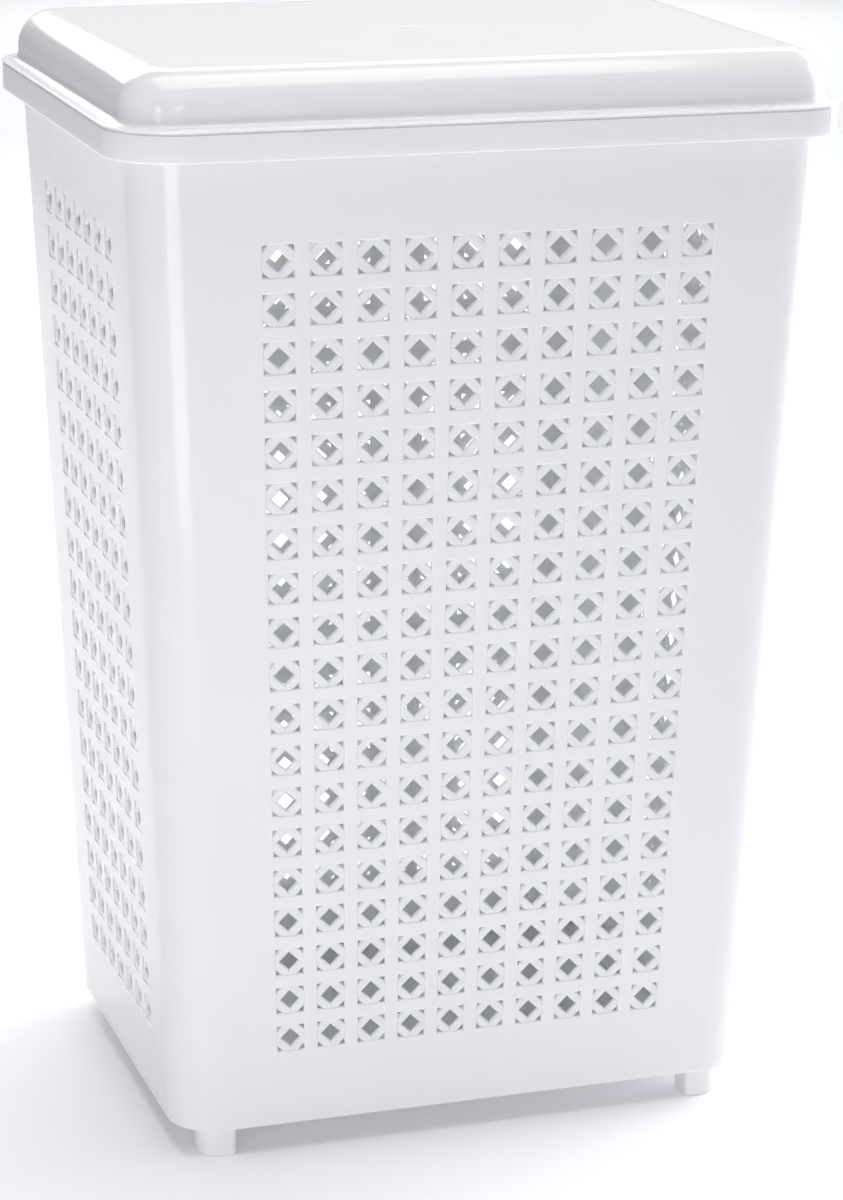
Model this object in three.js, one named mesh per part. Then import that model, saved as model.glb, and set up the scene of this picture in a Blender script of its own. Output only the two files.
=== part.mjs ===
// Laundry hamper: a drafted, perforated plastic tub on four short feet, with a lift-off lid.
// Millimetres, +Z up. The origin is on the floor, under the middle of the tub. The front faces -Y.
import * as THREE from 'three';

// ---- Driving dimensions -------------------------------------------------------------------------

const FOOT_HEIGHT = 16;
const GAP = 0.3;

// Tub: half-sizes of the outer plan at its lower edge, and how much they grow per millimetre of height.
const TUB_HALF_WIDTH = 167;
const TUB_HALF_DEPTH = 123.5;
const DRAFT_SIDES = 0.0427;
const DRAFT_FRONT = 0.0365;
const TUB_CORNER_RADIUS = 27;
const WALL = 1.8;
const WALL_HEIGHT = 544;

// Base plate, above the tub's lower edge.
const BASE_LIFT = 3;
const BASE_THICKNESS = 2;

// Lattice of the walls: pitch of the top row, and how much it shrinks by the bottom row.
const ROWS = 19;
const BROAD_COLUMNS = 10;
const NARROW_COLUMNS = 7;
const ROW_PITCH = 25.7;
const BROAD_PITCH = 25.6;
const NARROW_PITCH = 23.5;
const ROW_SHRINK = 0.12;
const COLUMN_SHRINK = 0.1;
const TOP_ROW_HEIGHT = 486.5;
const DIAMOND_REACH = 0.23;

// Lid: half-sizes of the skirt's outer plan, and the levels of its profile above the floor.
const LID_HALF_WIDTH = 202;
const LID_HALF_DEPTH = 154.5;
const LID_CORNER_RADIUS = 38;
const LID_WALL = 1.8;
const SKIRT_BOTTOM = 556;
const LEDGE_LEVEL = 572.7;
const LID_TOP = 600;
const SKIRT_EDGE_RADIUS = 1.2;
const DOME_INSET = 9.3;
const DOME_FOOT_FILLET = 4;
const DOME_ROUND = 20;

// Rim: the flange and lip that the lid sits on.
const RIM_CLEARANCE = 1.2;
const RIM_THICKNESS = 1.8;

// Feet: their reach from the middle of the tub, their plan size, and their upright edges. The outer
// edge is rounder, so that it follows the tub's corner.
const FOOT_REACH_X = 153.5;
const FOOT_REACH_Y = 120.9;
const FOOT_WIDTH = 20.5;
const FOOT_DEPTH = 20;
const FOOT_OUTER_RADIUS = 12;
const FOOT_INNER_RADIUS = 3;
const FOOT_CHAMFER = 1.2;

const CORNER_STEPS = 8;
const FOOT_STEPS = 6;
const ROUND_STEPS = 6;
const FILLET_STEPS = 2;

const basketPlastic = new THREE.MeshStandardMaterial({ color: 0xe6e8f0, roughness: 0.32, metalness: 0 });
const lidPlastic = new THREE.MeshStandardMaterial({ color: 0xeae9f0, roughness: 0.25, metalness: 0 });
const footPlastic = new THREE.MeshStandardMaterial({ color: 0xdfe1e9, roughness: 0.4, metalness: 0 });

// ---- Shape helpers ------------------------------------------------------------------------------

const halfWidthAt = (height) => TUB_HALF_WIDTH + DRAFT_SIDES * height;
const halfDepthAt = (height) => TUB_HALF_DEPTH + DRAFT_FRONT * height;

// Points of a circular arc about (cx, cy), angles in quarter turns.
function arc(cx, cy, radius, fromQuarter, toQuarter, steps) {
  const points = [];
  for (let i = 0; i <= steps; i += 1) {
    const angle = (fromQuarter + ((toQuarter - fromQuarter) * i) / steps) * Math.PI / 2;
    points.push(new THREE.Vector2(cx + radius * Math.cos(angle), cy + radius * Math.sin(angle)));
  }
  return points;
}

// Counter-clockwise outline of a rectangle with round corners, centred on the axis.
function roundedOutline(halfX, halfY, radius, steps = CORNER_STEPS) {
  const x = halfX - radius;
  const y = halfY - radius;
  return [
    ...arc(x, y, radius, 0, 1, steps),
    ...arc(-x, y, radius, 1, 2, steps),
    ...arc(-x, -y, radius, 2, 3, steps),
    ...arc(x, -y, radius, 3, 4, steps),
  ];
}

// An outline mirrored into another quarter of the plan, still counter-clockwise.
function mirrored(outline, signX, signY) {
  const placed = outline.map((point) => new THREE.Vector2(signX * point.x, signY * point.y));
  return signX * signY > 0 ? placed : placed.reverse();
}

// A horizontal loop: an outline and the level it lies at.
const loop = (outline, z) => outline.map((point) => new THREE.Vector3(point.x, point.y, z));

// Volume enclosed by an indexed mesh, negative when its faces point inwards.
function signedVolume(points, faces) {
  const cross = new THREE.Vector3();
  return faces.reduce(
    (sum, [a, b, c]) => sum + points[a].dot(cross.crossVectors(points[b], points[c])) / 6,
    0,
  );
}

// Skin through loops of equal length. A ring joins its last loop to its first; other skins are capped.
function skin(loops, isRing = false) {
  const count = loops[0].length;
  const points = loops.flat();
  const faces = [];
  const spans = isRing ? loops.length : loops.length - 1;
  for (let k = 0; k < spans; k += 1) {
    const here = k * count;
    const next = ((k + 1) % loops.length) * count;
    for (let i = 0; i < count; i += 1) {
      const j = (i + 1) % count;
      faces.push([here + i, here + j, next + j], [here + i, next + j, next + i]);
    }
  }
  if (!isRing) {
    const last = (loops.length - 1) * count;
    const flat = (ring) => ring.map((point) => new THREE.Vector2(point.x, point.y));
    THREE.ShapeUtils.triangulateShape(flat(loops[0]), []).forEach(([a, b, c]) => faces.push([c, b, a]));
    THREE.ShapeUtils.triangulateShape(flat(loops[loops.length - 1]), [])
      .forEach(([a, b, c]) => faces.push([last + a, last + b, last + c]));
  }
  if (signedVolume(points, faces) < 0) faces.forEach((face) => face.reverse());
  const geometry = new THREE.BufferGeometry().setFromPoints(points);
  geometry.setIndex(faces.flat());
  geometry.computeVertexNormals();
  return geometry;
}

function namedMesh(name, geometry, material) {
  const mesh = new THREE.Mesh(geometry, material);
  mesh.name = name;
  return mesh;
}

// ---- Tub ----------------------------------------------------------------------------------------

// Height of a lattice row above the tub's lower edge; the pitch shrinks evenly from row to row.
function rowHeight(row) {
  const last = ROWS - 1;
  return TOP_ROW_HEIGHT - ROW_PITCH * (row - (ROW_SHRINK * row * row) / (2 * last));
}

// Diamond-shaped through holes of one wall, in the wall's own plane.
function latticeHoles(columns, columnPitch, slope) {
  const holes = [];
  for (let row = 0; row < ROWS; row += 1) {
    const share = row / (ROWS - 1);
    const pitchX = columnPitch * (1 - COLUMN_SHRINK * share);
    const pitchY = ROW_PITCH * (1 - ROW_SHRINK * share);
    const y = rowHeight(row) * slope;
    for (let column = 0; column < columns; column += 1) {
      const x = (column - (columns - 1) / 2) * pitchX;
      const reachX = DIAMOND_REACH * pitchX;
      const reachY = DIAMOND_REACH * pitchY;
      holes.push(new THREE.Path([
        new THREE.Vector2(x + reachX, y),
        new THREE.Vector2(x, y + reachY),
        new THREE.Vector2(x - reachX, y),
        new THREE.Vector2(x, y - reachY),
      ]));
    }
  }
  return holes;
}

// One flat wall, leaning outwards by its draft, turned about the axis to its side of the tub.
function wall(name, { halfSpan, spanDraft, offset, draft, columns, pitch, turn }) {
  const slope = Math.hypot(1, draft);
  const bottom = halfSpan - TUB_CORNER_RADIUS - GAP;
  const top = bottom + spanDraft * WALL_HEIGHT;
  const outline = new THREE.Shape([
    new THREE.Vector2(-bottom, 0),
    new THREE.Vector2(bottom, 0),
    new THREE.Vector2(top, WALL_HEIGHT * slope),
    new THREE.Vector2(-top, WALL_HEIGHT * slope),
  ]);
  outline.holes = latticeHoles(columns, pitch, slope);
  const geometry = new THREE.ExtrudeGeometry(outline, { depth: WALL, bevelEnabled: false });
  geometry.translate(0, 0, -WALL);
  const panel = namedMesh(name, geometry, basketPlastic);
  panel.rotation.x = Math.PI / 2 + Math.atan(draft);
  panel.position.set(0, -offset, FOOT_HEIGHT);
  const side = new THREE.Group();
  side.rotation.z = turn;
  side.add(panel);
  return side;
}

const broadWall = (name, turn) => wall(name, {
  halfSpan: TUB_HALF_WIDTH,
  spanDraft: DRAFT_SIDES,
  offset: TUB_HALF_DEPTH,
  draft: DRAFT_FRONT,
  columns: BROAD_COLUMNS,
  pitch: BROAD_PITCH,
  turn,
});

const narrowWall = (name, turn) => wall(name, {
  halfSpan: TUB_HALF_DEPTH,
  spanDraft: DRAFT_FRONT,
  offset: TUB_HALF_WIDTH,
  draft: DRAFT_SIDES,
  columns: NARROW_COLUMNS,
  pitch: NARROW_PITCH,
  turn,
});

// Rounded corner column: a quarter ring that moves outwards with the draft of both walls beside it.
function cornerColumn(name, signX, signY) {
  const section = (height) => {
    const cx = halfWidthAt(height) - TUB_CORNER_RADIUS;
    const cy = halfDepthAt(height) - TUB_CORNER_RADIUS;
    const outer = arc(cx, cy, TUB_CORNER_RADIUS, 0, 1, CORNER_STEPS);
    const inner = arc(cx, cy, TUB_CORNER_RADIUS - WALL, 1, 0, CORNER_STEPS);
    return loop(mirrored([...outer, ...inner], signX, signY), FOOT_HEIGHT + height);
  };
  return namedMesh(name, skin([section(0), section(WALL_HEIGHT)]), basketPlastic);
}

function basePlate() {
  const inset = WALL + GAP;
  const outline = roundedOutline(
    halfWidthAt(BASE_LIFT) - inset,
    halfDepthAt(BASE_LIFT) - inset,
    TUB_CORNER_RADIUS - inset,
  );
  const underside = FOOT_HEIGHT + BASE_LIFT;
  const loops = [loop(outline, underside), loop(outline, underside + BASE_THICKNESS)];
  return namedMesh('base_plate', skin(loops), basketPlastic);
}

// Rim: an upright continuing the walls, a flange outwards and a lip turned down, swept round the tub.
function rim() {
  const bottom = FOOT_HEIGHT + WALL_HEIGHT + GAP;
  const top = LEDGE_LEVEL - LID_WALL - GAP;
  const reach = LID_WALL + RIM_CLEARANCE;
  const upright = (inset, z) => loop(roundedOutline(
    halfWidthAt(WALL_HEIGHT) - inset,
    halfDepthAt(WALL_HEIGHT) - inset,
    TUB_CORNER_RADIUS - inset,
  ), z);
  const lip = (inset, z) => loop(roundedOutline(
    LID_HALF_WIDTH - reach - inset,
    LID_HALF_DEPTH - reach - inset,
    LID_CORNER_RADIUS - reach - inset,
  ), z);
  const loops = [
    upright(0, bottom),
    upright(0, top - RIM_THICKNESS),
    lip(RIM_THICKNESS, top - RIM_THICKNESS),
    lip(RIM_THICKNESS, bottom),
    lip(0, bottom),
    lip(0, top),
    upright(WALL, top),
    upright(WALL, bottom),
  ];
  return namedMesh('rim', skin(loops, true), basketPlastic);
}

// Short block with round upright edges and a small chamfer where it meets the floor. Its outline is
// drawn for the corner at +X +Y and mirrored to the other three.
function foot(name, signX, signY) {
  const section = (inset, z) => {
    const [far, near] = [FOOT_OUTER_RADIUS - inset, FOOT_INNER_RADIUS - inset];
    const [maxX, minX] = [FOOT_REACH_X - inset, FOOT_REACH_X - FOOT_WIDTH + inset];
    const [maxY, minY] = [FOOT_REACH_Y - inset, FOOT_REACH_Y - FOOT_DEPTH + inset];
    const outline = [
      ...arc(maxX - far, maxY - far, far, 0, 1, FOOT_STEPS),
      ...arc(minX + near, maxY - near, near, 1, 2, FOOT_STEPS),
      ...arc(minX + near, minY + near, near, 2, 3, FOOT_STEPS),
      ...arc(maxX - near, minY + near, near, 3, 4, FOOT_STEPS),
    ];
    return loop(mirrored(outline, signX, signY), z);
  };
  const top = FOOT_HEIGHT + BASE_LIFT - GAP;
  const loops = [section(FOOT_CHAMFER, 0), section(0, FOOT_CHAMFER), section(0, top)];
  return namedMesh(name, skin(loops), footPlastic);
}

// ---- Lid ----------------------------------------------------------------------------------------

// Profile of the lid as (inset from the skirt's face, level), from the top's edge round to its underside.
function lidProfile() {
  const x = DOME_INSET + DOME_ROUND;
  const y = LID_TOP - DOME_ROUND;
  const fillet = DOME_FOOT_FILLET;
  return [
    ...arc(x, y, DOME_ROUND, 1, 2, ROUND_STEPS),
    ...arc(DOME_INSET - fillet, LEDGE_LEVEL + fillet, fillet, 0, -1, FILLET_STEPS),
    new THREE.Vector2(SKIRT_EDGE_RADIUS, LEDGE_LEVEL),
    new THREE.Vector2(0, LEDGE_LEVEL - SKIRT_EDGE_RADIUS),
    new THREE.Vector2(0, SKIRT_BOTTOM),
    new THREE.Vector2(LID_WALL, SKIRT_BOTTOM),
    new THREE.Vector2(LID_WALL, LEDGE_LEVEL - LID_WALL),
    new THREE.Vector2(DOME_INSET + LID_WALL, LEDGE_LEVEL - LID_WALL),
    ...arc(x, y, DOME_ROUND - LID_WALL, 2, 1, ROUND_STEPS),
  ];
}

function lid() {
  const loops = lidProfile().map(({ x: inset, y: level }) => loop(roundedOutline(
    LID_HALF_WIDTH - inset,
    LID_HALF_DEPTH - inset,
    LID_CORNER_RADIUS - inset,
  ), level));
  return namedMesh('lid', skin(loops), lidPlastic);
}

// ---- Assembly -----------------------------------------------------------------------------------

const CORNERS = [
  ['front_left', -1, -1],
  ['front_right', 1, -1],
  ['back_left', -1, 1],
  ['back_right', 1, 1],
];

const hamper = new THREE.Group();
hamper.add(
  broadWall('front_wall', 0),
  narrowWall('right_wall', Math.PI / 2),
  broadWall('back_wall', Math.PI),
  narrowWall('left_wall', -Math.PI / 2),
  ...CORNERS.map(([place, x, y]) => cornerColumn(`corner_${place}`, x, y)),
  basePlate(),
  rim(),
  ...CORNERS.map(([place, x, y]) => foot(`foot_${place}`, x, y)),
  lid(),
);

export default hamper;
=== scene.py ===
import math

import bmesh
import bpy
import numpy as np
from mathutils import Matrix, Vector


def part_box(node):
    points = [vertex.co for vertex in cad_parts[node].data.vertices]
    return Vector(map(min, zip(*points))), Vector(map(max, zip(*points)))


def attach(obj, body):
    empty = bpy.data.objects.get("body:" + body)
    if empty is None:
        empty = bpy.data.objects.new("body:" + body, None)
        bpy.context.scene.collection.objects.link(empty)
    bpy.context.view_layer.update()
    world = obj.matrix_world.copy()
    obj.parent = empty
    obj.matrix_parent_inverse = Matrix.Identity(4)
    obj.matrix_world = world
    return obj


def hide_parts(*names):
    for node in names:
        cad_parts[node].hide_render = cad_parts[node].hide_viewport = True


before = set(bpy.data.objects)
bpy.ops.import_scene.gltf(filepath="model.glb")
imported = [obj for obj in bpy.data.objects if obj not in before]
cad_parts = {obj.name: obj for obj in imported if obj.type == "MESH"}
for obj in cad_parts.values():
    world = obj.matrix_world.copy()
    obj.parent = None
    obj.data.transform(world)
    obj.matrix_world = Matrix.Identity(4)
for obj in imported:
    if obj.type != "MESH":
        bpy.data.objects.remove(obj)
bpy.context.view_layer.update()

MM = 0.001

# ---- Camera and studio --------------------------------------------------------------------------

CAMERA_AIM = Vector((0.0101, 0, 0.273))
CAMERA_DISTANCE = 2.076
CAMERA_AZIMUTH = -18.31
CAMERA_ELEVATION = 16.35
CAMERA_ROLL = 0.64
CAMERA_LENS = 108.8
CAMERA_SENSOR = 36

LIGHT_AIM = Vector((0, 0, 0.35))
FLOOR_HALF = 14

# ---- Sizes of the tub and lid, read from the frame ----------------------------------------------

lid_low, lid_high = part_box("lid")
rim_low, rim_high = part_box("rim")
wall_low, wall_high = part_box("front_wall")
corner_low, corner_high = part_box("corner_front_right")
base_low, base_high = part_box("base_plate")
foot_low, foot_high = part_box("foot_back_right")

TUB_RADIUS = 27 * MM
TUB_BOTTOM = wall_low.z
TUB_WALL_HEIGHT = wall_high.z - wall_low.z
TUB_HALF_X = corner_low.x + TUB_RADIUS
TUB_HALF_Y = -corner_high.y + TUB_RADIUS
DRAFT_X = (corner_high.x - TUB_HALF_X) / TUB_WALL_HEIGHT
DRAFT_Y = (-corner_low.y - TUB_HALF_Y) / TUB_WALL_HEIGHT
WALL = 2.4 * MM

LID_HALF_X = lid_high.x
LID_HALF_Y = lid_high.y
LID_RADIUS = 38 * MM
LID_WALL = 1.8 * MM

SMALLEST_RADIUS = 2 * MM
CORNER_STEPS = 12

# ---- Lattice ------------------------------------------------------------------------------------

ROWS = 19
COLUMNS = (10, 7)
TOP_PITCH = (25.6 * MM, 23.5 * MM)
ROW_PITCH = 25.7 * MM
ROW_SHRINK = 0.12
COLUMN_SHRINK = 0.10
TOP_ROW = 486.5 * MM
GRID_SHARE = 0.97

# One cell, in shares of the pitch, and its depths below the wall's face.
WINDOW = 0.356
WINDOW_BEVEL = 0.014
HOLE_SHELF = 0.010
DIAMOND = 0.225
DIAMOND_BEVEL = 0.050
ARM_LIMIT = 0.545
ARM_BEVEL = 0.050
RECESS = 0.75 * MM
BEVEL_DROP = 1.15 * MM

# Row coordinates of the lattice's edges and middles, from the lowest edge up. Row 0 is the top row.
ROW_LINES = np.arange(ROWS - 0.5, -0.51, -0.5)
ABOVE_ROWS = -0.5

# Each wall's direction along it and out of it, counter-clockwise from the front.
SIDES = [((1, 0), (0, -1)), ((0, 1), (1, 0)), ((-1, 0), (0, 1)), ((0, -1), (-1, 0))]


def row_level(v):
    """Height above the tub's lower edge at row coordinate v, 0 at the top row's middle."""
    return TOP_ROW - ROW_PITCH * (v - ROW_SHRINK * v * v / (2 * (ROWS - 1)))


def column_pitch(side, v):
    """Pitch of the columns at row coordinate v on a broad (0) or narrow (1) wall."""
    return TOP_PITCH[side] * (1 - COLUMN_SHRINK * v / (ROWS - 1))


def tub_half_x(height):
    """Half the tub's width at a height above its lower edge."""
    return TUB_HALF_X + DRAFT_X * height


def tub_half_y(height):
    """Half the tub's depth at a height above its lower edge."""
    return TUB_HALF_Y + DRAFT_Y * height


# ---- Rings and profiles -------------------------------------------------------------------------

def stations(side, pitch, reach):
    """Places along a flat wall: its two ends and every half pitch of the lattice."""
    columns = COLUMNS[side]
    step = min(pitch, GRID_SHARE * 2 * reach / columns)
    lines = (np.arange(2 * columns + 1) - columns) / 2 * step
    return np.concatenate(([-reach], lines, [reach]))


def rounded_outline(half_x, half_y, radius, turns, flats):
    """Rounded rectangle, counter-clockwise from the front wall's left end.

    flats(side, reach) gives the places of the points along a wall, and turns the corners' angles."""
    points = []
    for k, (along, out) in enumerate(SIDES):
        reach, offset = (half_x, half_y) if k % 2 == 0 else (half_y, half_x)
        along, out = np.array(along, float), np.array(out, float)
        points.append(flats(k % 2, reach - radius)[:, None] * along + offset * out)
        centre = (reach - radius) * along + (offset - radius) * out
        points.append(centre + radius * (np.cos(turns)[:, None] * out + np.sin(turns)[:, None] * along))
    return np.vstack(points)


def at_level(outline, z):
    """Outline lifted to height z."""
    return np.column_stack((outline, np.full(len(outline), z)))


def ring(half_x, half_y, radius, z, v=ABOVE_ROWS):
    """Ring with a point on every line of the lattice at row coordinate v."""
    turns = np.linspace(0, math.pi / 2, CORNER_STEPS + 1)[1:-1]

    def flats(side, reach):
        return stations(side, column_pitch(side, v), reach)

    return at_level(rounded_outline(half_x, half_y, radius, turns, flats), z)


def tub_ring(height, inset, v=ABOVE_ROWS):
    """Ring parallel to the tub's wall at a height above its lower edge."""
    radius = max(TUB_RADIUS - inset, SMALLEST_RADIUS)
    return ring(tub_half_x(height) - inset, tub_half_y(height) - inset, radius, TUB_BOTTOM + height, v)


def quarter(centre, radius, start, end, steps):
    """Points of an arc in a profile's plane, with angles in degrees."""
    angles = np.radians(np.linspace(start, end, steps + 1))
    return [(centre[0] + radius * math.cos(a), centre[1] + radius * math.sin(a)) for a in angles]


# ---- Mesh helpers -------------------------------------------------------------------------------

MERGE_DISTANCE = 2e-6
SHARP_ANGLE = 18


def make_object(name, points, faces, kinds=None):
    """Smooth-shaded object. kinds gives each face's material index."""
    mesh = bpy.data.meshes.new(name)
    mesh.from_pydata([tuple(p) for p in points], [], faces)
    mesh.polygons.foreach_set("material_index", kinds or [0] * len(faces))
    work = bmesh.new()
    work.from_mesh(mesh)
    bmesh.ops.remove_doubles(work, verts=work.verts, dist=MERGE_DISTANCE)
    work.to_mesh(mesh)
    work.free()
    mesh.polygons.foreach_set("use_smooth", [True] * len(mesh.polygons))
    mesh.set_sharp_from_angle(angle=math.radians(SHARP_ANGLE))
    mesh.update()
    piece = bpy.data.objects.new(name, mesh)
    bpy.context.scene.collection.objects.link(piece)
    return piece


def skin(rings, skip=lambda k, i: False):
    """Points and faces of a closed skin through rings of equal length, capped at both ends."""
    count = len(rings[0])
    faces = []
    for k in range(len(rings) - 1):
        for i in range(count):
            if skip(k, i):
                continue
            j = (i + 1) % count
            faces.append((k * count + i, k * count + j, (k + 1) * count + j, (k + 1) * count + i))
    last = (len(rings) - 1) * count
    faces.append(tuple(range(count))[::-1])
    faces.append(tuple(last + i for i in range(count)))
    return np.vstack(rings), faces


# ---- Lattice cell -------------------------------------------------------------------------------

def cell_quarter():
    """One quarter of a cell: named points (x, y, depth) and faces that look outwards.

    p is the cell's edge, w to v the window's bevel, a the arm's sides, j to k the arm's bevel,
    k to h the corner hole's wall, d to e the diamond's bevel, e to f its wall, and q the back."""
    w = WINDOW - WINDOW_BEVEL
    k = w - HOLE_SHELF
    m = ARM_LIMIT - k
    j = m - ARM_BEVEL
    d = DIAMOND + DIAMOND_BEVEL
    arm_mid = (k + j) / 2
    hole_mid = (k + m) / 2
    diamond_mid = DIAMOND / 2
    deep = RECESS + BEVEL_DROP
    p = {
        "p0": (0.5, 0, 0), "p1": (0.5, 0.5, 0), "p2": (0, 0.5, 0),
        "w0": (WINDOW, 0, 0), "w1": (WINDOW, WINDOW, 0), "w2": (0, WINDOW, 0),
        "v0": (w, 0, RECESS), "v1": (w, w, RECESS), "v2": (0, w, RECESS),
        "a0": (w, j, RECESS), "a2": (j, w, RECESS),
        "j0": (k, j, RECESS), "j2": (j, k, RECESS), "jm": (arm_mid, arm_mid, RECESS),
        "k0": (k, m, deep), "k1": (k, k, RECESS), "k2": (m, k, deep), "km": (hole_mid, hole_mid, deep),
        "d0": (d, 0, RECESS), "dm": (d / 2, d / 2, RECESS), "d2": (0, d, RECESS),
        "e0": (DIAMOND, 0, deep), "em": (diamond_mid, diamond_mid, deep), "e2": (0, DIAMOND, deep),
        "f0": (DIAMOND, 0, WALL), "fm": (diamond_mid, diamond_mid, WALL), "f2": (0, DIAMOND, WALL),
        "h0": (k, m, WALL), "h1": (k, k, WALL), "h2": (m, k, WALL), "hm": (hole_mid, hole_mid, WALL),
        "q0": (0.5, 0, WALL), "q1": (0.5, 0.5, WALL), "q2": (0, 0.5, WALL),
    }
    faces = [
        "w0 p0 p1 w1", "w1 p1 p2 w2",
        "v0 w0 w1 v1 a0", "v1 w1 w2 v2 a2",
        "j0 a0 v1 k1", "k1 v1 a2 j2",
        "j0 k0 km jm", "jm km k2 j2",
        "d0 v0 a0 j0 jm dm", "dm jm j2 a2 v2 d2",
        "e0 d0 dm em", "em dm d2 e2",
        "f0 e0 em fm", "fm em e2 f2",
        "k0 j0 k1 h1 h0", "k1 j2 k2 h2 h1", "k2 km hm h2", "km k0 h0 hm",
        "q0 h0 h1 q1", "q1 h1 h2 q2", "q0 f0 fm hm h0", "q2 h2 hm fm f2",
    ]
    return p, [f.split() for f in faces]


def cell_template():
    """A whole cell from four mirrored quarters, with shared points merged."""
    named, quarter_faces = cell_quarter()
    index, points, faces = {}, [], []
    for sx, sy in ((1, 1), (-1, 1), (-1, -1), (1, -1)):
        for face in quarter_faces:
            loop = []
            for name in face:
                x, y, depth = named[name]
                key = (round(sx * x, 6), round(sy * y, 6), round(depth, 8))
                if key not in index:
                    index[key] = len(points)
                    points.append(key)
                loop.append(index[key])
            faces.append(tuple(loop if sx * sy > 0 else loop[::-1]))
    return np.array(points), faces


# Lighter copies of the plastic go to the inner faces, as painted light, and to the bevels and hole
# walls, as painted highlights.
OUTER_FACE, INNER_PAINTED_LIGHT_FACE, EDGE_PAINTED_HIGHLIGHT_FACE = 0, 1, 2


def cell_kind(depths):
    """Material index of a cell's face: flat outside, flat inside with painted light, or a bevel or hole
    wall with painted highlights.
    """
    tolerance = 0.01 * MM
    if depths.max() - depths.min() > tolerance:
        return EDGE_PAINTED_HIGHLIGHT_FACE
    return INNER_PAINTED_LIGHT_FACE if depths.max() > RECESS + tolerance else OUTER_FACE


def lattice(first_index):
    """Points, faces and material indices of every cell on all four walls."""
    template, template_faces = cell_template()
    template_kinds = [cell_kind(template[list(face), 2]) for face in template_faces]
    blocks, faces, kinds, start = [], [], [], first_index
    for k, (along, out) in enumerate(SIDES):
        side = k % 2
        along, out = np.array(along, float), np.array(out, float)
        for row in range(ROWS):
            v = row - template[:, 1]
            height = row_level(v)
            pitch = column_pitch(side, v)
            offset = (tub_half_y(height) if side == 0 else tub_half_x(height)) - template[:, 2]
            for column in range(COLUMNS[side]):
                place = (column - (COLUMNS[side] - 1) / 2 + template[:, 0]) * pitch
                flat = place[:, None] * along + offset[:, None] * out
                blocks.append(np.column_stack((flat, TUB_BOTTOM + height)))
                faces += [tuple(start + i for i in face) for face in template_faces]
                kinds += template_kinds
                start += len(template)
    return np.vstack(blocks), faces, kinds


def lattice_columns():
    """Indices i of the perimeter whose quad i to i + 1 is covered by lattice cells."""
    covered, start = set(), 0
    for k in range(4):
        count = 2 * COLUMNS[k % 2]
        covered.update(range(start + 1, start + 1 + count))
        start += count + 3 + CORNER_STEPS - 1
    return covered


# ---- Tub ----------------------------------------------------------------------------------------

# Heights here are above the tub's lower edge.
FLOOR_TOP = base_high.z - TUB_BOTTOM
FLOOR_UNDER = base_low.z - TUB_BOTTOM
FLOOR_STEP_INSET = 26 * MM
FLOOR_STEP_RUN = 3 * MM
FLOOR_STEP_RISE = 1.5 * MM
FLOOR_FILLET = 5 * MM
SKIRTING_RUN = 1 * MM
SKIRTING_RISE = 0.7 * MM
LOWER_BAND = 8 * MM

RIM_TOP = rim_high.z - TUB_BOTTOM
RIM_FLANGE = 1.9 * MM
RIM_ROUND = 1.2 * MM
FLANGE_FILLET = 1.5 * MM
RIM_LIP_END = rim_low.z - TUB_BOTTOM
RIM_LIP_FILLET = 1 * MM
RIM_LIP_RADIUS = LID_RADIUS - (LID_HALF_X - rim_high.x)


def lip_ring(height, inset):
    """Ring parallel to the outside of the rim's lip."""
    half_x, half_y = rim_high.x - inset, rim_high.y - inset
    return ring(half_x, half_y, RIM_LIP_RADIUS - inset, TUB_BOTTOM + height)


def base_rings():
    """Underside of the floor, down inside the lower edge, round it, and up to the lower band."""
    edge = WALL / 2
    rings = [
        tub_ring(FLOOR_UNDER + FLOOR_STEP_RISE, FLOOR_STEP_INSET + FLOOR_STEP_RUN),
        tub_ring(FLOOR_UNDER, FLOOR_STEP_INSET),
        tub_ring(FLOOR_UNDER, WALL + SKIRTING_RUN),
        tub_ring(FLOOR_UNDER - SKIRTING_RISE, WALL),
    ]
    rings += [tub_ring(height, inset) for inset, height in quarter((edge, edge), edge, 0, -180, 6)]
    return rings + [tub_ring(LOWER_BAND, 0, ROW_LINES[0])]


def rim_rings():
    """Flange, lip and rounded top of the rim, from the outside of the wall to its inside."""
    edge = WALL / 2
    flange_under = RIM_TOP - RIM_FLANGE
    lip_half = RIM_FLANGE / 2
    lip_inside = RIM_FLANGE + RIM_LIP_FILLET
    arcs = [
        (tub_ring, (-FLANGE_FILLET, flange_under - FLANGE_FILLET), FLANGE_FILLET, 0, 90, 4),
        (lip_ring, (lip_inside, flange_under - RIM_LIP_FILLET), RIM_LIP_FILLET, 90, 180, 3),
        (lip_ring, (lip_half, RIM_LIP_END + lip_half), lip_half, 0, -180, 6),
        (lip_ring, (RIM_ROUND, RIM_TOP - RIM_ROUND), RIM_ROUND, 180, 90, 5),
        (tub_ring, (WALL - edge, RIM_TOP - edge), edge, 90, 0, 4),
    ]
    return [ring_at(height, inset) for ring_at, *arc in arcs for inset, height in quarter(*arc)]


def floor_rings():
    """Fillet between the inner wall and the floor, then the floor and its raised middle."""
    fillet_centre = (WALL + FLOOR_FILLET, FLOOR_TOP + FLOOR_FILLET)
    fillet = quarter(fillet_centre, FLOOR_FILLET, 180, 270, 6)
    return [tub_ring(height, inset) for inset, height in fillet] + [
        tub_ring(FLOOR_TOP, FLOOR_STEP_INSET),
        tub_ring(FLOOR_TOP + FLOOR_STEP_RISE, FLOOR_STEP_INSET + FLOOR_STEP_RUN),
    ]


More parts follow.
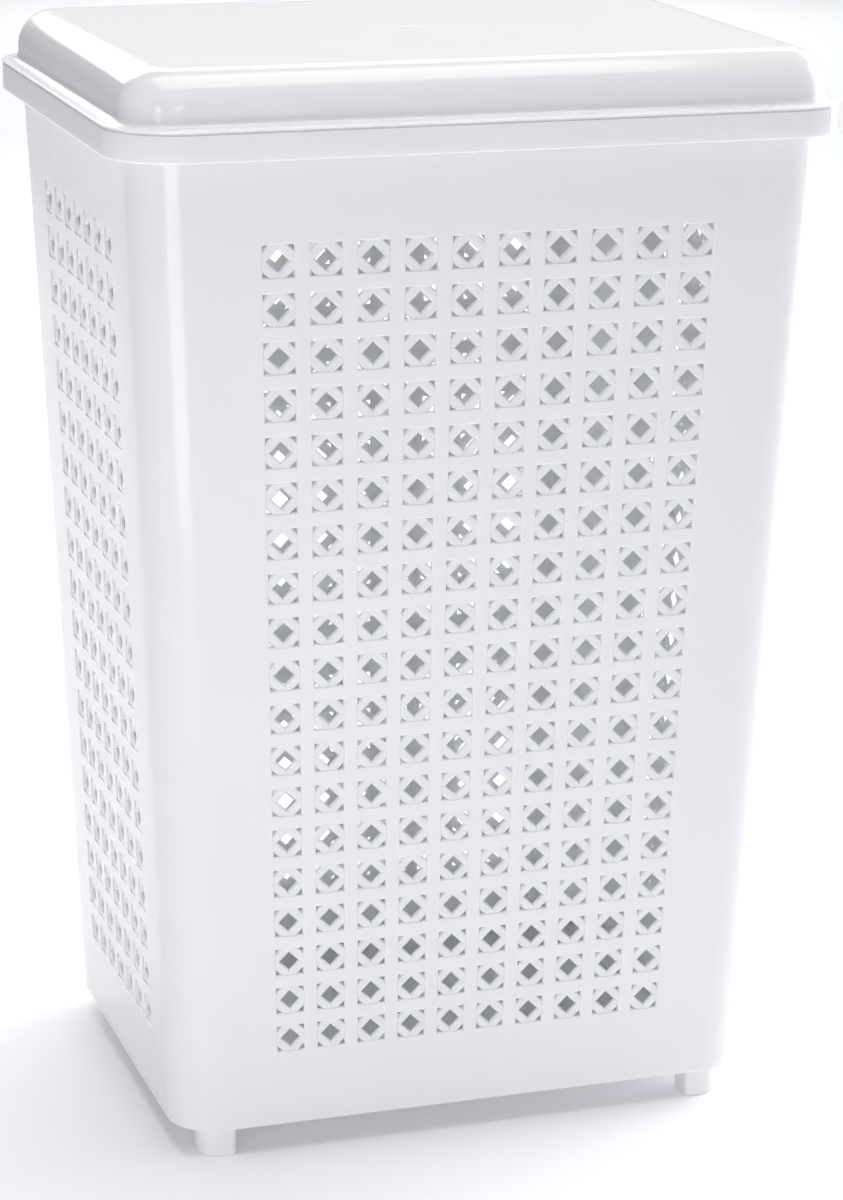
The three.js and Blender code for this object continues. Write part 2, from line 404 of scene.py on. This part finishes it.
def build_tub():
    """The perforated moulding: a closed skin with gaps on both faces, filled by lattice cells."""
    below, rim, inside = base_rings(), rim_rings(), floor_rings()
    outer = [tub_ring(row_level(v), 0, v) for v in ROW_LINES]
    inner = [tub_ring(row_level(v), WALL, v) for v in ROW_LINES[::-1]]
    rings = below + outer + rim + inner + inside
    outer_first = len(below)
    inner_first = outer_first + len(outer) + len(rim)
    open_bands = {first + k for first in (outer_first, inner_first) for k in range(len(outer) - 1)}
    covered = lattice_columns()
    points, faces = skin(rings, skip=lambda k, i: k in open_bands and i in covered)
    inner_start = inner_first * len(rings[0])
    kinds = [INNER_PAINTED_LIGHT_FACE if min(face) >= inner_start else OUTER_FACE for face in faces]
    cell_points, cell_faces, cell_kinds = lattice(len(points))
    tub = make_object("tub", np.vstack((points, cell_points)), faces + cell_faces, kinds + cell_kinds)
    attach(tub, "basket")
    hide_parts("front_wall", "back_wall", "left_wall", "right_wall", "corner_front_left",
                "corner_front_right", "corner_back_left", "corner_back_right", "base_plate", "rim")
    return tub


# ---- Lid ----------------------------------------------------------------------------------------

LID_CORNER_STEPS = 20
LID_FLAT_POINTS = 7
DOME_INSET = 9.3 * MM
DOME_ROUND = 20 * MM
DOME_FILLET = 4.5 * MM
TOP_MARGIN = 1.5 * MM
LEDGE = 27.3 * MM
SKIRT_SETBACK = 0.3 * MM
LIP_HEIGHT = 1.3 * MM
LIP_EDGE = 0.45 * MM
GROOVE_DEPTH = 1.2 * MM
GROOVE_HEIGHT = 1.0 * MM
INNER_LEDGE_FILLET = 1.5 * MM
INNER_SKIRT_FILLET = 1 * MM
GATE_RADIUS = 6 * MM
GATE_EDGE = 0.3 * MM
GATE_DEPTH = 0.1 * MM
GATE_MARGIN = 1.5 * MM

LID_TOP = lid_high.z
LEDGE_TOP = LID_TOP - LEDGE
DOME_CENTRE = (DOME_INSET + DOME_ROUND, LID_TOP - DOME_ROUND)


def lid_ring(inset, z):
    """Ring parallel to the skirt's face. Its count of points is the same at every inset."""
    radius = max(LID_RADIUS - inset, SMALLEST_RADIUS)
    turns = np.linspace(0, math.pi / 2, LID_CORNER_STEPS + 1)

    def flats(side, reach):
        return np.linspace(-1, 1, LID_FLAT_POINTS)[1:-1] * reach

    return at_level(rounded_outline(LID_HALF_X - inset, LID_HALF_Y - inset, radius, turns, flats), z)


def circle_ring(like, radius, z):
    """Small circle about the axis, its points in the directions of another ring's points."""
    turn = np.arctan2(like[:, 1] / LID_HALF_Y, like[:, 0] / LID_HALF_X)
    return at_level(np.column_stack((radius * np.cos(turn), radius * np.sin(turn))), z)


def lid_outer_profile():
    """Skirt, groove, lip, ledge and dome as (inset, z), from the skirt's inside to the flat top."""
    half = LID_WALL / 2
    skirt_end = lid_low.z
    lip_under = LEDGE_TOP - LIP_HEIGHT
    groove_under = lip_under - GROOVE_HEIGHT
    return [
        *quarter((SKIRT_SETBACK + half, skirt_end + half), half, 0, -180, 6),
        (SKIRT_SETBACK, skirt_end + LID_WALL),
        (SKIRT_SETBACK, groove_under),
        (GROOVE_DEPTH, groove_under),
        (GROOVE_DEPTH, lip_under),
        *quarter((LIP_EDGE, lip_under + LIP_EDGE), LIP_EDGE, 270, 180, 3),
        *quarter((LIP_EDGE, LEDGE_TOP - LIP_EDGE), LIP_EDGE, 180, 90, 4),
        *quarter((DOME_INSET - DOME_FILLET, LEDGE_TOP + DOME_FILLET), DOME_FILLET, -90, 0, 8),
        *quarter(DOME_CENTRE, DOME_ROUND, 180, 90, 24),
        (DOME_INSET + DOME_ROUND + TOP_MARGIN, LID_TOP),
    ]


def lid_inner_profile():
    """Underside of the lid as (inset, z), from the flat top's edge to the skirt's inside."""
    ledge_under = LEDGE_TOP - LID_WALL
    ledge_centre = (DOME_INSET + LID_WALL - INNER_LEDGE_FILLET, ledge_under + INNER_LEDGE_FILLET)
    skirt_centre = (SKIRT_SETBACK + LID_WALL + INNER_SKIRT_FILLET, ledge_under - INNER_SKIRT_FILLET)
    return [
        (DOME_INSET + DOME_ROUND + TOP_MARGIN, LID_TOP - LID_WALL),
        *quarter(DOME_CENTRE, DOME_ROUND - LID_WALL, 90, 180, 20),
        *quarter(ledge_centre, INNER_LEDGE_FILLET, 0, -90, 4),
        *quarter(skirt_centre, INNER_SKIRT_FILLET, 90, 180, 4),
    ]


def build_lid():
    """The lid's moulding, with a shallow gate recess in the middle of its top."""
    outer = [lid_ring(inset, z) for inset, z in lid_outer_profile()]
    inner = [lid_ring(inset, z) for inset, z in lid_inner_profile()]
    circles = [
        (GATE_RADIUS + GATE_MARGIN, LID_TOP),
        (GATE_RADIUS + GATE_EDGE, LID_TOP),
        (GATE_RADIUS, LID_TOP - GATE_DEPTH),
    ]
    gate = [circle_ring(outer[-1], radius, z) for radius, z in circles]
    under = [circle_ring(outer[-1], GATE_RADIUS, LID_TOP - LID_WALL)]
    points, faces = skin(under + inner + outer + gate)
    lid = make_object("lid_shell", points, faces)
    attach(lid, "lid")
    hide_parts("lid")
    return lid


# ---- Feet ---------------------------------------------------------------------------------------

FOOT_OUTER = 12 * MM
FOOT_INNER = 3.5 * MM
FOOT_EDGE = 1.3 * MM
FOOT_CORNER_STEPS = 10


def foot_outline(inset):
    """Outline of the foot at +X +Y: its outer edge is rounder, to follow the tub's corner."""
    low, high = foot_low, foot_high
    far, near = FOOT_OUTER - inset, FOOT_INNER - inset
    corners = [
        (high.x - inset - far, high.y - inset - far, far, 0),
        (low.x + inset + near, high.y - inset - near, near, 90),
        (low.x + inset + near, low.y + inset + near, near, 180),
        (high.x - inset - near, low.y + inset + near, near, 270),
    ]
    outline = []
    for x, y, radius, start in corners:
        outline += quarter((x, y), radius, start, start + 90, FOOT_CORNER_STEPS)
    return np.array(outline)


def build_foot(name, sign_x, sign_y):
    """One foot, mirrored into its corner by the signs."""
    profile = quarter((FOOT_EDGE, FOOT_EDGE), FOOT_EDGE, -90, -180, 5) + [(0, foot_high.z)]
    rings = []
    for inset, z in profile:
        outline = foot_outline(inset) * (sign_x, sign_y)
        if sign_x * sign_y < 0:
            outline = outline[::-1]
        rings.append(at_level(outline, z))
    points, faces = skin(rings)
    foot = make_object(name + "_moulded", points, faces)
    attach(foot, "basket")
    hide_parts(name)
    return foot


# ---- Materials ----------------------------------------------------------------------------------

# Scale and detail of the noise behind each effect.
TINT_NOISE = (7, 2)
GLOSS_NOISE = (60, 5)
SKIN_NOISE = (320, 3)
SINK_NOISE = (14, 1)


def new_material(name):
    """Node material: itself, its nodes, its links and its Principled shader."""
    material = bpy.data.materials.new(name)
    material.use_nodes = True
    tree = material.node_tree
    return material, tree.nodes, tree.links, tree.nodes["Principled BSDF"]


def plastic(name, colour, roughness, translucency):
    """Glossy moulded polypropylene: faint colour drift, uneven gloss, and a fine moulded skin."""
    material, nodes, links, shader = new_material(name)
    place = nodes.new("ShaderNodeTexCoord")

    def noise(scale, detail):
        texture = nodes.new("ShaderNodeTexNoise")
        texture.inputs["Scale"].default_value = scale
        texture.inputs["Detail"].default_value = detail
        links.new(place.outputs["Object"], texture.inputs["Vector"])
        return texture.outputs["Fac"]

    def bump(strength, distance, height):
        node = nodes.new("ShaderNodeBump")
        node.inputs["Strength"].default_value = strength
        node.inputs["Distance"].default_value = distance
        links.new(height, node.inputs["Height"])
        return node

    tint = nodes.new("ShaderNodeValToRGB")
    dark, light = tint.color_ramp.elements
    dark.position, light.position = 0.2, 0.8
    dark.color = (*[c * 0.985 for c in colour], 1)
    light.color = (*[min(c * 1.01, 1) for c in colour], 1)
    links.new(noise(*TINT_NOISE), tint.inputs["Fac"])
    links.new(tint.outputs["Color"], shader.inputs["Base Color"])

    gloss = nodes.new("ShaderNodeMapRange")
    gloss.inputs["To Min"].default_value = roughness * 0.85
    gloss.inputs["To Max"].default_value = roughness * 1.15
    links.new(noise(*GLOSS_NOISE), gloss.inputs["Value"])
    links.new(gloss.outputs["Result"], shader.inputs["Roughness"])

    fine_skin = bump(0.05, 0.2 * MM, noise(*SKIN_NOISE))
    sink = bump(0.12, 0.8 * MM, noise(*SINK_NOISE))
    links.new(fine_skin.outputs["Normal"], sink.inputs["Normal"])
    links.new(sink.outputs["Normal"], shader.inputs["Normal"])

    shader.inputs["IOR"].default_value = 1.5
    shader.inputs["Subsurface Weight"].default_value = 1.0
    shader.inputs["Subsurface Radius"].default_value = (1.0, 1.0, 1.0)
    shader.inputs["Subsurface Scale"].default_value = translucency
    return material


def floor_material():
    """Matt white floor that glows: painted light, faint everywhere and brighter in a pool behind the
    hamper.
    """
    material, nodes, links, shader = new_material("studio_floor")
    shader.inputs["Base Color"].default_value = (0.96, 0.96, 0.985, 1)
    shader.inputs["Roughness"].default_value = 0.6
    shader.inputs["Specular IOR Level"].default_value = 0.2
    shader.inputs["Emission Color"].default_value = (1, 1, 1, 1)
    place = nodes.new("ShaderNodeTexCoord")
    pool = nodes.new("ShaderNodeMapping")
    pool.vector_type = "TEXTURE"
    pool.inputs["Location"].default_value = (1.5, 4.5, 0)
    pool.inputs["Rotation"].default_value = (0, 0, math.radians(CAMERA_AZIMUTH))
    pool.inputs["Scale"].default_value = (2.6, 5.0, 1)
    falloff = nodes.new("ShaderNodeTexGradient")
    falloff.gradient_type = "SPHERICAL"
    strength = nodes.new("ShaderNodeMapRange")
    strength.inputs["From Max"].default_value = 0.8
    strength.inputs["To Min"].default_value = 0.07
    strength.inputs["To Max"].default_value = 0.75
    links.new(place.outputs["Object"], pool.inputs["Vector"])
    links.new(pool.outputs["Vector"], falloff.inputs["Vector"])
    links.new(falloff.outputs["Fac"], strength.inputs["Value"])
    # Glow strength of the floor, painted light: faint everywhere, brighter in the pool.
    links.new(strength.outputs["Result"], shader.inputs["Emission Strength"])
    return material


# ---- Studio -------------------------------------------------------------------------------------

def direction(azimuth, elevation):
    """Unit vector from the hamper. Azimuth runs from the front towards the right side, in degrees."""
    turn, rise = math.radians(azimuth), math.radians(elevation)
    return Vector((math.sin(turn) * math.cos(rise), -math.cos(turn) * math.cos(rise), math.sin(rise)))


def build_floor():
    """Large square floor under the feet."""
    mesh = bpy.data.meshes.new("studio_floor")
    corners = [(-FLOOR_HALF, -FLOOR_HALF, 0), (FLOOR_HALF, -FLOOR_HALF, 0),
               (FLOOR_HALF, FLOOR_HALF, 0), (-FLOOR_HALF, FLOOR_HALF, 0)]
    mesh.from_pydata(corners, [], [(0, 1, 2, 3)])
    floor = bpy.data.objects.new("studio_floor", mesh)
    floor.data.materials.append(floor_material())
    bpy.context.scene.collection.objects.link(floor)


def softbox(name, azimuth, elevation, distance, width, height, radiance, colour=(1, 1, 1)):
    """Rectangular light that faces the hamper."""
    towards = direction(azimuth, elevation)
    light = bpy.data.lights.new(name, "AREA")
    light.shape = "RECTANGLE"
    light.size, light.size_y = width, height
    light.energy = radiance * math.pi * width * height
    light.color = colour
    lamp = bpy.data.objects.new(name, light)
    lamp.location = LIGHT_AIM + towards * distance
    lamp.rotation_euler = towards.to_track_quat("Z", "Y").to_euler()
    bpy.context.scene.collection.objects.link(lamp)


def build_lights():
    """Softboxes: azimuth, elevation, distance, width, height, radiance and, if tinted, colour."""
    softbox("overhead_softbox", 0, 88, 2.4, 2.0, 2.0, 3.0, (1, 0.98, 0.985))
    softbox("backdrop_panel", 162, 7.5, 5.0, 5.0, 1.2, 0.40)
    softbox("back_softbox", 172, 29, 2.8, 2.6, 1.2, 3.0)
    softbox("right_back_softbox", 125, 18, 2.4, 1.3, 1.8, 2.9)
    softbox("right_edge_strip", 103, 8, 2.0, 0.8, 1.8, 3.0)
    softbox("right_softbox", 94, 17, 2.4, 1.4, 1.6, 2.8)
    softbox("front_softbox", -4, 14, 2.6, 0.75, 0.6, 3.5, (0.97, 0.985, 1))
    softbox("front_high_softbox", -20, 45, 2.4, 1.0, 0.8, 1.0)
    softbox("corner_softbox", -44, 9, 2.4, 0.45, 0.6, 4.2)
    softbox("left_softbox", -92, 20, 2.4, 1.4, 1.4, 0.5)
    softbox("low_left_card", -28, -9, 1.1, 0.5, 0.3, 2.8)


def build_world():
    """Faint, even, slightly blue light from everywhere."""
    world = bpy.data.worlds.new("studio")
    world.use_nodes = True
    background = world.node_tree.nodes["Background"]
    background.inputs["Color"].default_value = (0.88, 0.93, 1, 1)
    background.inputs["Strength"].default_value = 0.2
    bpy.context.scene.world = world


def build_camera():
    """Camera at the viewing angle, slightly above the lid and left of the front wall."""
    towards = direction(CAMERA_AZIMUTH, CAMERA_ELEVATION)
    data = bpy.data.cameras.new("camera")
    data.lens = CAMERA_LENS
    data.sensor_width = CAMERA_SENSOR
    camera = bpy.data.objects.new("camera", data)
    turn = (-towards).to_track_quat("-Z", "Y").to_matrix().to_4x4()
    roll = Matrix.Rotation(math.radians(CAMERA_ROLL), 4, "Z")
    camera.matrix_world = Matrix.Translation(CAMERA_AIM + towards * CAMERA_DISTANCE) @ turn @ roll
    bpy.context.scene.collection.objects.link(camera)
    bpy.context.scene.camera = camera


# ---- Scene --------------------------------------------------------------------------------------

build_camera()
build_lights()
build_world()
build_floor()

tub = build_tub()
lid = build_lid()
feet = [build_foot("foot_front_left", -1, -1), build_foot("foot_front_right", 1, -1),
        build_foot("foot_back_left", -1, 1), build_foot("foot_back_right", 1, 1)]

# In the order of OUTER_FACE, INNER_PAINTED_LIGHT_FACE and EDGE_PAINTED_HIGHLIGHT_FACE.
# The inner copy is lighter and bluer than the outside: painted light, for light carried through the
# wall. The edge copy is lighter still: painted highlights on the bevels and hole walls.
tub.data.materials.append(plastic("white_tub_plastic", (0.905, 0.90, 0.94), 0.15, 1.8 * MM))
tub.data.materials.append(plastic("white_tub_plastic_inner_painted_light", (0.95, 0.985, 0.99), 0.22, 2.6 * MM))
tub.data.materials.append(plastic("white_tub_plastic_edge_painted_highlight", (0.975, 0.98, 0.99), 0.15, 0.4 * MM))
lid.data.materials.append(plastic("white_lid_plastic", (0.915, 0.912, 0.935), 0.10, 1.2 * MM))
# The feet get a lighter copy of the plastic: painted light, lifting the shade under the tub.
foot_plastic = plastic("white_foot_plastic_painted_light", (0.95, 0.95, 0.97), 0.22, 1.2 * MM)
for foot in feet:
    foot.data.materials.append(foot_plastic)

bpy.context.scene.view_settings.view_transform = "Standard"
